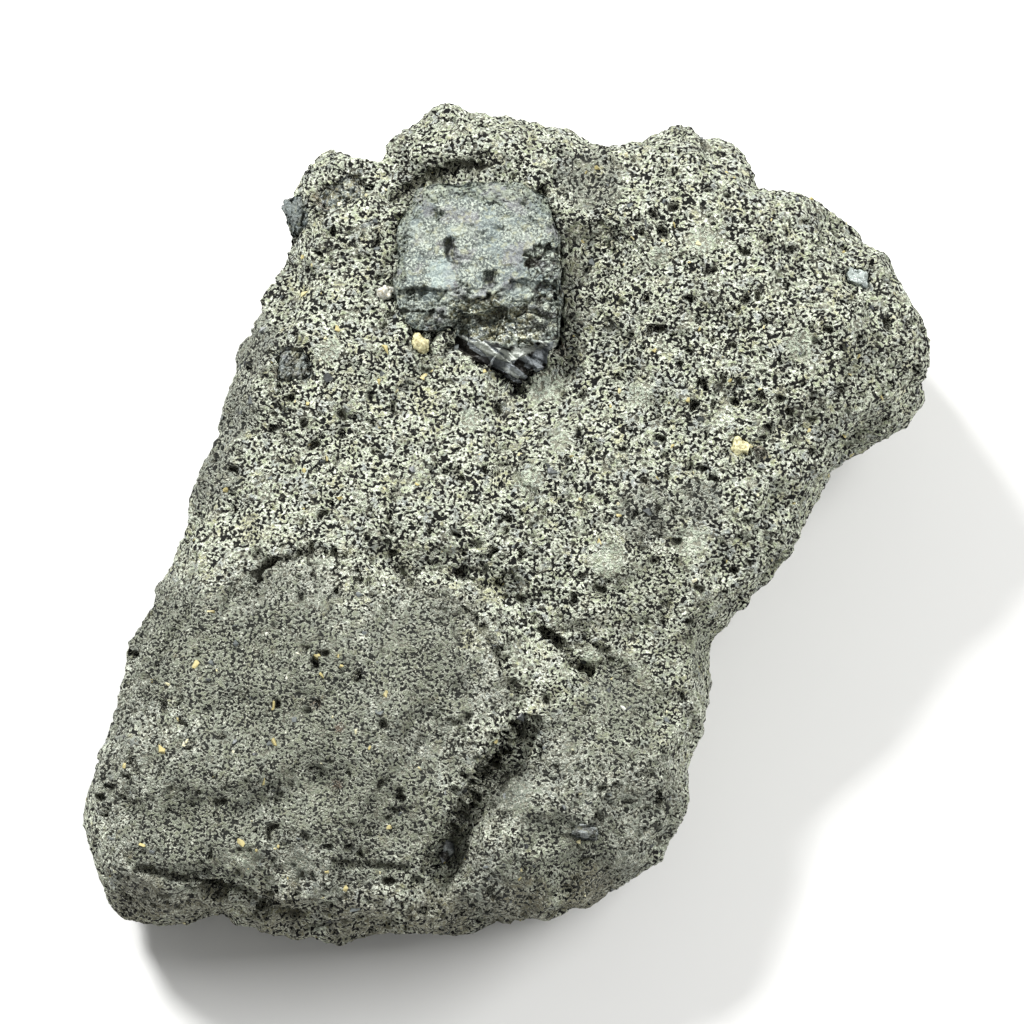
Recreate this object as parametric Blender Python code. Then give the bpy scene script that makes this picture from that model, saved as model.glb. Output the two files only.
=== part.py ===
"""Augite specimen: a large augite phenocryst in a lump of vesicular basalt scoria.

The specimen lies on its back with the crystal upwards. Metres, +Z up, origin on the
resting face under the middle of the lump, +X to its right and +Y towards its top end.
"""
import math
import random

import bmesh
import bpy
from mathutils import Matrix, Vector, noise

MM = 0.001

# Driving dimensions of the lump, in millimetres
FACE_HEIGHT = 31.0          # height of the front face over the middle
FACE_RISE = 0.146           # rise of the front face towards the top end, mm per mm
MID_HEIGHT = 15.0           # height of the widest section
BELLY = 3.2                 # how far the rounded back reached below the resting face
TOP_SQUARENESS = 6.2        # superellipse exponent of the front rim
BACK_SQUARENESS = 3.2       # superellipse exponent of the back rim
CENTRE = Vector((-2.0, -1.0))
BOX_MIDDLE = Vector((0.1, -1.5, 0.0))      # middle of the lump's box in the drawing, becomes the origin
GAP = 0.3                   # clearance between a crystal and its socket
LEAN_BEND = 1.5             # how late the side wall leans in towards the front and the back
LUMP_BEND = 1.3             # how steeply a lump of the front ends
SPHERE_LEVEL = 7
KEEP_RATIO = 0.072          # share of the fine triangles that the faceted lump keeps
SWELLS = [(0.075, 1.5), (0.16, 0.9)]                        # waves per mm, height in mm
CREASES = [(0.12, 0.7), (0.26, 0.4), (0.5, 0.125)]         # sharp valleys between the swells
CREASE_SHARPNESS = 4.0
SWELL_SHIFT = Vector((3.1, 7.7, 1.3))                       # where the noise of each is read
CREASE_SHIFT = Vector((9.4, 2.2, 5.8))
REST_BLOCK = (140.0, 140.0, 20.0)                           # cuts the rounded back off flat
OVER_FACE = 80.0            # height from which straight lines look down for the surface
BESIDE_WALL = 1.5           # start of a line that looks inwards for the wall, in radii of the lump

# Plan outline of the lump, counter-clockwise from the notch on the right side
OUTLINE = [
    (39.8, 8.4), (46.2, 11.8), (49.4, 15.4), (49.8, 21.5), (47.2, 26.5), (45.4, 29.4), (43.6, 30.0),
    (40.6, 33.6), (37.4, 36.6), (30.0, 37.4), (29.4, 40.0), (26.4, 43.6), (20.9, 44.9), (17.1, 42.9),
    (13.6, 41.7), (8.0, 43.2), (3.2, 44.3), (-0.4, 46.5), (-4.5, 47.2), (-7.9, 47.6), (-10.5, 45.0),
    (-14.9, 40.6), (-18.8, 41.5), (-22.1, 41.3), (-24.0, 39.1), (-24.8, 33.6), (-26.2, 27.2),
    (-31.5, 20.0), (-32.6, 15.0), (-34.0, 8.0), (-37.6, -2.4), (-39.4, -6.6), (-43.6, -15.3),
    (-46.0, -21.8), (-47.2, -26.9), (-49.2, -37.7), (-48.8, -42.9), (-47.6, -46.7), (-41.6, -49.0),
    (-36.1, -47.3), (-32.5, -48.0), (-27.7, -49.8), (-14.0, -50.0), (-3.6, -49.6), (1.6, -49.2),
    (8.2, -46.7), (14.8, -42.6), (18.3, -38.2), (22.2, -27.6), (23.4, -22.6), (24.4, -17.0),
    (26.4, -12.0), (31.4, -6.6), (34.6, -1.0), (37.6, 5.2),
]

# Inward lean of the side wall at a compass angle: (degrees, towards the front, towards the back)
SIDE_LEAN = [
    (0, -2.0, 10.0), (20, 0.0, 8.0), (45, 1.8, 6.0), (90, 0.6, 6.5), (140, 1.6, 4.5), (180, 4.6, 1.0),
    (225, 3.2, 0.5), (270, 1.6, 0.0), (305, 3.2, 0.5), (318, 3.6, 1.0), (335, -2.0, 9.0), (360, -2.0, 10.0),
]

# Lumps and hollows of the front: (x, y, radius along, radius across, turn in degrees, height)
LUMPS = [
    (-23.0, -28.0, 23.0, 20.0, 20, 4.6),    # lower left boss
    (6.5, -38.0, 14.0, 10.0, 25, 3.4),      # lower right boss
    (32.0, 19.0, 18.0, 14.0, -20, 3.4),     # right shoulder
    (22.0, 35.0, 9.0, 7.0, 0, 2.2),         # lobe at the top right
    (-5.0, 40.5, 11.0, 5.0, 0, 2.0),        # lobe over the crystal
    (-21.0, 34.0, 7.0, 6.5, 0, 2.4),        # lobe at the top left
    (3.0, -4.0, 20.0, 9.0, 0, 1.2),         # middle swell
    (-24.0, 6.0, 8.0, 14.0, 15, 1.3),       # left flank swell
    (10.5, 19.5, 4.4, 12.0, 6, -2.6),       # trough right of the crystal
    (5.0, 11.0, 6.0, 5.0, 30, -3.0),        # mould below the crystal's nose
    (-0.5, 13.6, 8.0, 4.0, -18, -2.0),      # floor round the nose
    (-19.0, 35.0, 4.0, 3.6, 0, -2.6),       # recess in the upper left lobe
    (24.0, 21.0, 6.0, 9.0, 20, -1.2),       # dip between the trough and the shoulder
    (10.0, -21.0, 5.5, 3.0, -25, -1.5),     # oval bowl at the slot
    (-1.0, -13.5, 8.0, 3.5, -15, -1.5),     # saddle behind the lower left boss
    (18.0, -6.0, 7.0, 6.0, 0, -1.0),        # dip at the right waist
]

# Cracks in the front: (path in plan, half width left of it, half width right of it, depth)
CRACKS = [
    ([(-33.0, -15.5), (-30.2, -11.4), (-26.9, -9.6), (-23.0, -8.3), (-18.8, -8.6), (-14.0, -9.6),
      (-9.0, -11.0), (-4.5, -12.5)], 1.4, 2.6, 1.3),
    ([(1.6, -29.6), (-1.8, -33.2), (-4.2, -37.6), (-6.2, -40.2), (-9.0, -45.4)], 5.8, 1.3, 6.0),
    ([(4.4, -17.8), (7.4, -20.0), (10.9, -22.4)], 1.2, 1.6, 1.6),
    ([(-3.0, -12.0), (1.5, -18.0), (2.6, -25.0), (1.2, -30.0)], 3.4, 2.6, 1.6),
    ([(-14.5, 33.0), (-11.0, 36.2), (-7.0, 37.4), (-3.0, 37.8)], 1.0, 1.6, 2.0),
    ([(-43.5, -44.0), (-38.0, -45.4), (-33.0, -46.0), (-28.0, -48.0)], 1.5, 1.5, 1.3),
]

# Large pits: (x, y, length, width, depth, turn in degrees)
PITS = [
    (-14.6, -8.4, 1.9, 1.5, 1.5, 30), (-12.7, -10.6, 2.6, 1.9, 2.0, -20), (-5.1, -11.4, 1.9, 1.6, 1.7, 10),
    (-17.2, -8.3, 1.4, 1.0, 1.0, 0), (18.3, -37.6, 1.6, 1.4, 1.3, 0), (-39.3, -26.0, 2.0, 1.5, 1.4, 60),
    (-37.2, -25.2, 1.2, 1.1, 1.0, 0), (30.9, 29.0, 2.1, 1.4, 1.5, -30), (34.2, 30.5, 1.5, 1.1, 1.2, 20),
    (37.6, 28.5, 2.9, 1.4, 1.4, -40), (45.3, 18.2, 1.9, 1.4, 1.4, 70), (30.6, 3.5, 1.6, 1.3, 1.3, 0),
    (-15.4, 28.4, 1.3, 1.1, 1.1, 0), (-14.4, -4.0, 1.1, 1.0, 1.0, 0), (18.8, 29.0, 1.5, 1.1, 1.1, 45),
    (26.3, 34.0, 1.4, 1.0, 1.1, -20), (-38.4, -42.6, 1.8, 1.2, 1.2, 20), (3.6, -31.6, 1.4, 2.6, 1.8, 20),
    (-3.6, -33.8, 1.6, 1.3, 1.5, 0), (-5.2, -37.2, 1.5, 1.4, 1.6, 0), (-6.9, -41.0, 1.7, 1.4, 1.6, 15),
    (5.2, -18.2, 1.9, 1.1, 1.4, -35), (10.5, -22.0, 1.6, 1.0, 1.1, -25), (1.3, 12.1, 2.4, 1.8, 2.4, 0),
    (0.4, 1.4, 1.5, 1.1, 1.0, 30), (14.0, 33.0, 1.3, 1.0, 1.0, 0), (-34.0, -17.0, 1.6, 1.2, 1.2, 40),
]
FINE_PIT_LENGTH = 2.5       # pits longer than this get more faces
WALL_PITS = 46              # large pits scattered over the side walls and the back rim
WALL_PIT_RISE = (-0.4, 0.62)                                # slope of the arrow from the middle to a pit
WALL_PIT_WIDTH = (1.4, 3.0)
WALL_PIT_SHAPE = (0.8, 0.7)                                 # height and depth as shares of its width
PIT_SEED = 7

# Each crystal: where it sits, how it is turned, and the flat-faced blocks it is made of.
# A block is (middle, size, turn in degrees about Z, faces as (direction, distance from the middle)).
CRYSTALS = {
    "augite_crystal": {
        "at": (-2.9, 24.0), "tilt": (-8.0, 3.0, 0.0), "sunk": 2.2, "finish": "augite",
        "blocks": [
            ((-0.3, 4.9, 0.6), (18.8, 12.6, 11.2), 0, [
                ((-0.9, 0.44, 0), 9.1), ((0.34, 0.94, 0), 7.4), ((0.72, 0.69, 0), 9.3),
                ((0.95, 0.3, 0), 9.0), ((0, 0.72, 0.69), 7.7), ((-0.72, 0, 0.69), 10.0),
                ((0.55, 0.55, 0.63), 9.0), ((0.85, 0.1, 0.52), 10.1), ((-0.55, 0.55, 0.63), 9.0),
                ((0.05, -0.03, 1), 5.45)]),
            ((0.4, -0.6, 0.2), (17.6, 7.0, 11.2), -3, [
                ((0.8, -0.6, 0), 9.3), ((0.72, 0, 0.69), 9.57), ((0, -0.6, 0.8), 5.88),
                ((-0.02, 0.12, 1), 5.3)]),
            ((-6.3, -2.4, 0.7), (7.0, 7.0, 10.2), 8, [
                ((-0.6, -0.8, 0), 3.9), ((0.6, -0.8, 0), 3.9), ((-0.6, 0, 0.8), 5.4),
                ((0, -0.55, 0.83), 5.35), ((0.08, -0.1, 1), 4.85)]),
            ((5.6, -4.0, 0.2), (7.2, 7.0, 9.0), -6, [
                ((0.78, -0.62, 0), 4.2), ((0.7, 0, 0.72), 4.9), ((0.1, -0.3, 0.95), 4.5)]),
            ((3.6, -7.0, -0.4), (7.8, 8.0, 8.6), 24, [
                ((-0.82, -0.57, 0), 3.9), ((0.9, -0.44, 0), 3.9), ((-0.62, -0.1, 0.78), 3.5),
                ((0.45, -0.42, 0.79), 3.7), ((0, -0.78, 0.62), 4.1)]),
            ((-0.6, -6.4, -0.1), (6.8, 5.2, 8.0), -32, [
                ((-0.5, -0.3, 0.81), 3.2), ((0.1, -0.6, 0.79), 3.4), ((-0.8, -0.6, 0), 3.5)]),
            ((-1.6, -1.9, 1.7), (4.2, 2.6, 6.0), 12, [((0.2, -0.3, 0.93), 2.9)]),
            ((3.0, -1.2, 1.7), (3.0, 2.8, 6.6), -14, [((-0.2, -0.2, 0.96), 3.0)]),
            ((7.0, 0.2, 1.5), (2.6, 3.6, 6.2), 6, [((0.4, 0.1, 0.91), 2.9)]),
            ((-7.4, 1.2, 1.5), (3.2, 3.4, 6.6), -8, [((-0.4, -0.2, 0.9), 3.0)]),
        ],
        "notches": [
            ((-3.7, 3.3, 6.4), (1.1, 2.8, 2.2), 8), ((0.9, -0.2, 5.9), (1.4, 2.0, 2.0), 0),
            ((-5.2, 7.6, 6.6), (1.3, 1.2, 1.5), 30), ((-8.2, -1.6, 5.6), (1.3, 1.1, 1.6), 15),
            ((4.8, 0.4, 6.1), (1.2, 1.0, 1.4), -10), ((1.6, -4.4, 4.4), (2.2, 1.4, 1.6), 20),
            ((6.0, 7.6, 6.5), (0.9, 1.6, 1.2), -25), ((4.9, -9.4, 2.6), (2.4, 1.2, 1.8), 30),
            ((-5.6, -5.6, 1.8), (4.4, 1.6, 2.4), 12), ((8.4, -2.2, 4.6), (1.2, 1.1, 1.4), 0),
        ],
    },
    "augite_recess": {
        "at": (-19.4, 34.4), "tilt": (6.0, -10.0, 20.0), "sunk": 1.6, "finish": "augite",
        "blocks": [
            ((0, 0, 0), (4.6, 5.0, 4.2), 15, [((-0.6, 0.5, 0.62), 2.2), ((0.6, 0.3, 0.74), 2.3),
                                             ((0.8, -0.6, 0), 2.4), ((-0.1, -0.6, 0.79), 2.2)]),
            ((-1.1, -1.0, 0.1), (2.6, 2.8, 3.8), -20, [((-0.4, -0.5, 0.77), 1.8)]),
        ],
        "notches": [],
    },
    "augite_edge": {
        "at": (-24.3, 33.2), "tilt": (0.0, -12.0, -8.0), "sunk": 1.8, "finish": "augite",
        "blocks": [
            ((0, 0, 0), (3.4, 4.6, 4.4), 12, [((-0.75, 0.1, 0.65), 1.6), ((0.35, 0.2, 0.91), 1.7),
                                             ((-0.2, 0.85, 0.49), 2.3), ((-0.3, -0.8, 0.52), 2.3),
                                             ((-0.8, -0.6, 0), 2.3)]),
        ],
        "notches": [],
    },
    "augite_flank": {
        "at": (-25.0, 13.2), "tilt": (4.0, -16.0, 10.0), "sunk": 1.3, "finish": "augite",
        "blocks": [
            ((0, 0, 0), (4.2, 4.4, 3.8), 0, [((-0.55, 0.1, 0.83), 1.8), ((0.5, 0.5, 0.7), 2.0),
                                            ((0.3, -0.8, 0.52), 2.0)]),
        ],
        "notches": [],
    },
    "augite_lath": {
        "at": (9.0, -41.2), "tilt": (8.0, 4.0, 6.0), "sunk": 0.6, "finish": "augite",
        "blocks": [
            ((0, 0, 0), (2.8, 1.1, 2.6), 0, [((0.6, 0, 0.8), 1.6), ((-0.7, 0, 0.7), 1.6)]),
        ],
        "notches": [],
    },
    "augite_groove": {
        "at": (-7.3, -41.9), "tilt": (-12.0, 18.0, 40.0), "sunk": 0.5, "finish": "augite",
        "blocks": [
            ((0, 0, 0), (2.2, 2.4, 2.6), 0, [((0.5, 0.3, 0.81), 1.2), ((-0.5, -0.4, 0.77), 1.3)]),
        ],
        "notches": [],
    },
    "glassy_grain": {
        "at": (41.4, 24.6), "tilt": (0.0, 12.0, 15.0), "sunk": 0.6, "finish": "glassy",
        "blocks": [
            ((0, 0, 0), (2.2, 1.8, 2.6), 0, [((0.5, 0.4, 0.77), 1.3), ((-0.6, -0.2, 0.77), 1.3)]),
        ],
        "notches": [],
    },
    "feldspar_white": {
        "at": (-14.3, 22.3), "tilt": (0.0, -8.0, 25.0), "sunk": 0.3, "finish": "feldspar",
        "blocks": [
            ((0, 0, 0), (1.3, 1.2, 2.0), 0, [((0.5, 0.4, 0.77), 1.0), ((-0.6, 0.2, 0.77), 1.1)]),
        ],
        "notches": [],
    },
    "feldspar_yellow": {
        "at": (-10.4, 16.0), "tilt": (-6.0, 0.0, -32.0), "sunk": 0.5, "finish": "feldspar",
        "blocks": [
            ((0, 0, 0), (1.1, 2.2, 2.0), 0, [((0.4, 0.5, 0.77), 1.1), ((-0.4, -0.6, 0.69), 1.2)]),
        ],
        "notches": [],
    },
    "feldspar_patch": {
        "at": (27.6, 3.6), "tilt": (0.0, 0.0, 20.0), "sunk": 0.5, "finish": "feldspar",
        "blocks": [
            ((0, 0, 0), (2.0, 1.4, 1.8), 0, [((0.4, 0.4, 0.82), 0.9), ((-0.5, -0.3, 0.81), 1.0)]),
        ],
        "notches": [],
    },
}

FINISHES = {                # colour, roughness, metallic
    "scoria": ((0.165, 0.185, 0.148, 1), 0.94, 0.0),
    "augite": ((0.075, 0.085, 0.1, 1), 0.38, 0.0),
    "feldspar": ((0.62, 0.55, 0.36, 1), 0.5, 0.0),
    "glassy": ((0.42, 0.48, 0.5, 1), 0.3, 0.0),
}


def clear_scene():
    for thing in list(bpy.data.objects):
        bpy.data.objects.remove(thing, do_unlink=True)


def new_collection(name):
    group = bpy.data.collections.new(name)
    bpy.context.scene.collection.children.link(group)
    return group


def finish(name):
    """Principled material of one finish."""
    colour, roughness, metallic = FINISHES[name]
    material = bpy.data.materials.get(name) or bpy.data.materials.new(name)
    material.use_nodes = True
    shader = material.node_tree.nodes["Principled BSDF"]
    shader.inputs["Base Color"].default_value = colour
    shader.inputs["Roughness"].default_value = roughness
    shader.inputs["Metallic"].default_value = metallic
    return material


def add_object(name, bm, group, material=None):
    """Object from a bmesh drawn in millimetres."""
    bmesh.ops.transform(bm, matrix=Matrix.Scale(MM, 4) @ Matrix.Translation(-BOX_MIDDLE), verts=bm.verts)
    mesh = bpy.data.meshes.new(name)
    bm.to_mesh(mesh)
    bm.free()
    if material:
        mesh.materials.append(material)
    thing = bpy.data.objects.new(name, mesh)
    group.objects.link(thing)
    return thing


def hide_cutter(thing):
    thing.hide_render = True
    thing.display_type = "WIRE"


def smooth_step(low, high, value):
    share = min(1.0, max(0.0, (value - low) / (high - low)))
    return share * share * (3.0 - 2.0 * share)


def outline_by_angle():
    """The outline as (angle, distance) from the centre, closed once round."""
    polar = []
    for x, y in OUTLINE:
        arm = Vector((x, y)) - CENTRE
        polar.append((math.atan2(arm.y, arm.x) % math.tau, arm.length))
    polar.sort()
    first, last = polar[0], polar[-1]
    return [(last[0] - math.tau, last[1])] + polar + [(first[0] + math.tau, first[1])]


def between(table, angle):
    """Values of a table of (angle, value, ...) at an angle, on straight runs."""
    for low, high in zip(table, table[1:]):
        if low[0] <= angle <= high[0]:
            share = (angle - low[0]) / max(high[0] - low[0], 1e-9)
            return [a + (b - a) * share for a, b in zip(low[1:], high[1:])]
    return list(table[-1][1:])


def lump_height(x, y, lump):
    cx, cy, along, across, turn, height = lump
    turn = math.radians(turn)
    dx, dy = x - cx, y - cy
    u = (dx * math.cos(turn) + dy * math.sin(turn)) / along
    v = (dy * math.cos(turn) - dx * math.sin(turn)) / across
    return height * math.exp(-(u * u + v * v) ** LUMP_BEND)


def crack_depth(x, y, crack):
    """Depth of a crack under a point: each side has its own slope."""
    path, left, right, depth = crack
    here, best = Vector((x, y)), 0.0
    for start, end in zip(path, path[1:]):
        start, end = Vector(start), Vector(end)
        run = end - start
        share = min(1.0, max(0.0, (here - start).dot(run) / run.length_squared))
        away = here - (start + run * share)
        reach = left if run.cross(away) > 0 else right
        best = max(best, 1.0 - smooth_step(0.0, 1.0, away.length / reach))
    return depth * best


def face_height(x, y):
    """Height of the front face over a point of the plan, before its fine roughness."""
    height = FACE_HEIGHT + FACE_RISE * y
    height += sum(lump_height(x, y, lump) for lump in LUMPS)
    return height - max(crack_depth(x, y, crack) for crack in CRACKS)


def lump_point(arrow, outline, lean):
    """Carries a direction from the middle to the surface of the lump."""
    flat = math.hypot(arrow.x, arrow.y)
    power = TOP_SQUARENESS if arrow.z > 0 else BACK_SQUARENESS
    reach = (flat ** power + abs(arrow.z) ** power) ** (-1.0 / power)
    out, up = flat * reach, arrow.z * reach
    angle = math.atan2(arrow.y, arrow.x) % math.tau
    radius = between(outline, angle)[0]
    to_front, to_back = between(lean, math.degrees(angle))
    inset = to_front * max(up, 0.0) ** LEAN_BEND + to_back * max(-up, 0.0) ** LEAN_BEND
    step = out * (radius - inset)
    x = CENTRE.x + math.cos(angle) * step
    y = CENTRE.y + math.sin(angle) * step
    level = face_height(x, y) - MID_HEIGHT if up > 0 else MID_HEIGHT + BELLY
    return Vector((x, y, MID_HEIGHT + up * level))


def rough_height(point):
    """Height of the broken surface over its smooth form: swells, and creases between them."""
    swell = sum(height * noise.noise(point * waves + SWELL_SHIFT) for waves, height in SWELLS)
    crease = sum(height * (1.0 - CREASE_SHARPNESS * abs(noise.noise(point * waves + CREASE_SHIFT)))
                 for waves, height in CREASES)
    return swell + crease


def roughen(bm):
    bm.normal_update()
    moves = [vert.normal * rough_height(vert.co) for vert in bm.verts]
    for vert, move in zip(bm.verts, moves):
        vert.co += move


def make_lump(group, material):
    outline = outline_by_angle()
    bm = bmesh.new()
    bmesh.ops.create_icosphere(bm, subdivisions=SPHERE_LEVEL, radius=1.0)
    for vert in bm.verts:
        vert.co = lump_point(vert.co.normalized(), outline, SIDE_LEAN)
    roughen(bm)
    lump = add_object("scoria_matrix", bm, group, material)
    facets = lump.modifiers.new("broken facets", "DECIMATE")
    facets.ratio = KEEP_RATIO
    return lump


def cut_with(thing, cutter, name):
    cut = thing.modifiers.new(name, "BOOLEAN")
    cut.operation = "DIFFERENCE"
    cut.solver = "EXACT"
    if isinstance(cutter, bpy.types.Collection):
        cut.operand_type = "COLLECTION"
        cut.collection = cutter
    else:
        cut.object = cutter


def make_rest_cutter(group):
    """Box under the resting plane, which cuts the rounded back off flat."""
    bm = bmesh.new()
    place = Matrix.Translation((0, 0, -REST_BLOCK[2] / 2)) @ Matrix.Diagonal((*REST_BLOCK, 1))
    bmesh.ops.create_cube(bm, size=1.0, matrix=place)
    cutter = add_object("cut_resting_face", bm, group)
    hide_cutter(cutter)
    return cutter


def add_pit(group, name, place, size, turn, detail):
    """Ellipsoidal bubble that opens at the surface."""
    bm = bmesh.new()
    bmesh.ops.create_icosphere(bm, subdivisions=detail, radius=1.0)
    half = Matrix.Diagonal((size[0] / 2, size[1] / 2, size[2], 1))
    bmesh.ops.transform(bm, matrix=Matrix.Translation(place) @ turn @ half, verts=bm.verts)
    hide_cutter(add_object(name, bm, group))


def surface_point(lump, start, arrow):
    """Where a straight line from outside first meets the faceted lump, in the drawing's millimetres."""
    solid = lump.evaluated_get(bpy.context.evaluated_depsgraph_get())
    hit, point, _, _ = solid.ray_cast((Vector(start) - BOX_MIDDLE) * MM, Vector(arrow))
    assert hit, f"no surface below {start}"
    return point / MM + BOX_MIDDLE


def make_pits(lump, group):
    for number, (x, y, length, width, depth, turn) in enumerate(PITS):
        place = surface_point(lump, (x, y, OVER_FACE), (0, 0, -1))
        detail = 2 if length > FINE_PIT_LENGTH else 1
        add_pit(group, f"pit_{number:02d}", place, (length, width, depth),
                Matrix.Rotation(math.radians(turn), 4, "Z"), detail)
    outline, draw = outline_by_angle(), random.Random(PIT_SEED)
    for number in range(WALL_PITS):
        around, up = draw.uniform(0, math.tau), draw.uniform(*WALL_PIT_RISE)
        arrow = Vector((math.cos(around), math.sin(around), up)).normalized()
        inside = Vector((CENTRE.x, CENTRE.y, MID_HEIGHT))
        outwards = lump_point(arrow, outline, SIDE_LEAN) - inside
        place = surface_point(lump, inside + outwards * BESIDE_WALL, -outwards.normalized())
        wide = draw.uniform(*WALL_PIT_WIDTH)
        add_pit(group, f"wall_pit_{number:02d}", place, [wide] + [wide * share for share in WALL_PIT_SHAPE],
                arrow.to_track_quat("Z", "Y").to_matrix().to_4x4(), 1)


def block_mesh(block, grow):
    """Box cut by crystal faces; grow moves every face outwards by that much."""
    middle, size, turn, faces = block
    bm = bmesh.new()
    sides = Matrix.Diagonal([side + 2 * grow for side in size] + [1])
    bmesh.ops.create_cube(bm, size=1.0, matrix=sides)
    for direction, distance in faces:
        direction = Vector(direction).normalized()
        cut = bmesh.ops.bisect_plane(bm, geom=bm.verts[:] + bm.edges[:] + bm.faces[:], clear_outer=True,
                                     plane_co=direction * (distance + grow), plane_no=direction)
        rim = [part for part in cut["geom_cut"] if isinstance(part, bmesh.types.BMEdge)]
        bmesh.ops.holes_fill(bm, edges=rim)
    bmesh.ops.recalc_face_normals(bm, faces=bm.faces)
    place = Matrix.Translation(middle) @ Matrix.Rotation(math.radians(turn), 4, "Z")
    bmesh.ops.transform(bm, matrix=place, verts=bm.verts)
    return bm


def crystal_place(crystal, lump):
    x, y = crystal["at"]
    surface = surface_point(lump, (x, y, OVER_FACE), (0, 0, -1))
    seat = Matrix.Translation(surface - Vector((0, 0, crystal["sunk"])))
    for turn, axis in zip(crystal["tilt"], "XYZ"):
        seat = seat @ Matrix.Rotation(math.radians(-turn), 4, axis)
    return seat


def make_crystal(name, crystal, lump, group, helpers, sockets):
    """One crystal as joined flat-faced blocks, and the socket that it leaves in the scoria."""
    seat = crystal_place(crystal, lump)
    pieces = []
    for number, block in enumerate(crystal["blocks"]):
        for grow, holder, label in ((0.0, helpers, "block"), (GAP, sockets, "socket")):
            bm = block_mesh(block, grow)
            bmesh.ops.transform(bm, matrix=seat, verts=bm.verts)
            if label == "block" and number == 0:
                pieces.append(add_object(name, bm, group, finish(crystal["finish"])))
                continue
            piece = add_object(f"{name}_{label}_{number}", bm, holder)
            hide_cutter(piece)
            if label == "block":
                pieces.append(piece)
    for piece in pieces[1:]:
        join = pieces[0].modifiers.new("join " + piece.name, "BOOLEAN")
        join.operation = "UNION"
        join.solver = "EXACT"
        join.object = piece
    for number, (middle, size, turn) in enumerate(crystal["notches"]):
        bm = block_mesh((middle, size, turn, []), 0.0)
        bmesh.ops.transform(bm, matrix=seat, verts=bm.verts)
        notch = add_object(f"{name}_notch_{number}", bm, helpers)
        hide_cutter(notch)
        cut_with(pieces[0], notch, "notch")


def main():
    clear_scene()
    specimen = new_collection("augite specimen")
    cutters = new_collection("pit cutters")
    sockets = new_collection("socket cutters")
    helpers = new_collection("crystal blocks")
    lump = make_lump(specimen, finish("scoria"))
    make_pits(lump, cutters)
    for name, crystal in CRYSTALS.items():
        make_crystal(name, crystal, lump, specimen, helpers, sockets)
    cut_with(lump, make_rest_cutter(helpers), "resting face")
    cut_with(lump, cutters, "pits")
    cut_with(lump, sockets, "crystal sockets")


main()
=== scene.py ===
import math
import random
import bmesh
import bpy
import numpy as np
from mathutils import Matrix, Vector
from mathutils.bvhtree import BVHTree
from mathutils.kdtree import KDTree


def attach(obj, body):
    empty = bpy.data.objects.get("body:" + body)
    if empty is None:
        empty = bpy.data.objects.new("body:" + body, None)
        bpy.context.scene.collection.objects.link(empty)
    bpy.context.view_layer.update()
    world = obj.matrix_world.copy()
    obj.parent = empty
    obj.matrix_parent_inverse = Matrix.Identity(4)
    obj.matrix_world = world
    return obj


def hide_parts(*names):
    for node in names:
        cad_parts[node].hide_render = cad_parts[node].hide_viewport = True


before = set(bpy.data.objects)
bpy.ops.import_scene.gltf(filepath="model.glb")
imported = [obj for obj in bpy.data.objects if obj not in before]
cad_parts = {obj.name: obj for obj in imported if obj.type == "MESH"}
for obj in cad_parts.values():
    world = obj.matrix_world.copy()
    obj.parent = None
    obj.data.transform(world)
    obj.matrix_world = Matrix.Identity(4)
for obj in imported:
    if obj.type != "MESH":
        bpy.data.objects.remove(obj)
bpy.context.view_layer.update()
mm = 0.001

camera = {
    "elevation": 74.0,          # degrees above the floor, from the foot end of the specimen
    "aim": (0.4, 2.7, 13.3),    # mm
    "distance": 900.0,          # mm, a long lens keeps the sides narrow
    "imageWidth": 122.9,        # mm that the frame spans at the aim
    "sensor": 36.0,
    "pixels": 1024,
}


def makeCamera(s):
    tilt = math.radians(s["elevation"])
    aim = Vector(s["aim"]) * mm
    place = aim + Vector((0.0, -math.cos(tilt), math.sin(tilt))) * s["distance"] * mm
    data = bpy.data.cameras.new("long lens")
    data.sensor_width = s["sensor"]
    data.lens = s["sensor"] * s["distance"] / s["imageWidth"]
    data.clip_start = 0.01
    thing = bpy.data.objects.new("long lens", data)
    thing.location = place
    thing.rotation_euler = (aim - place).to_track_quat("-Z", "Y").to_euler()
    bpy.context.scene.collection.objects.link(thing)
    bpy.context.scene.camera = thing


def sightLine(s, px, py):       # start and direction of the line of sight through a place of the frame
    tilt = math.radians(s["elevation"])
    back = Vector((0.0, -math.cos(tilt), math.sin(tilt)))
    right = Vector((1.0, 0.0, 0.0))
    up = back.cross(right)
    step = s["imageWidth"] / s["pixels"]
    half = s["pixels"] / 2
    aim = Vector(s["aim"])
    start = (aim + back * s["distance"]) * mm
    point = (aim + right * (px - half) * step + up * (half - py) * step) * mm
    return start, (point - start).normalized()


def inFrame(s, points):         # where points in metres stand in the camera's frame, in its pixels
    tilt = math.radians(s["elevation"])
    back = np.array((0.0, -math.cos(tilt), math.sin(tilt)))
    up = np.array((0.0, math.sin(tilt), math.cos(tilt)))
    away = points / mm - s["aim"]
    near = s["distance"] / (s["distance"] - away @ back) / (s["imageWidth"] / s["pixels"])
    return np.column_stack((s["pixels"] / 2 + away[:, 0] * near, s["pixels"] / 2 - (away @ up) * near))


def awayFrom(places, corners):  # pixels from each place to a line through the corners
    reach = np.full(len(places), 1e9)
    x, y = places.T
    for (ax, ay), (bx, by) in zip(corners, corners[1:]):
        along = ((x - ax) * (bx - ax) + (y - ay) * (by - ay)) / ((bx - ax) ** 2 + (by - ay) ** 2)
        along = np.clip(along, 0.0, 1.0)
        reach = np.minimum(reach, np.hypot(x - ax - along * (bx - ax), y - ay - along * (by - ay)))
    return reach


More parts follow.
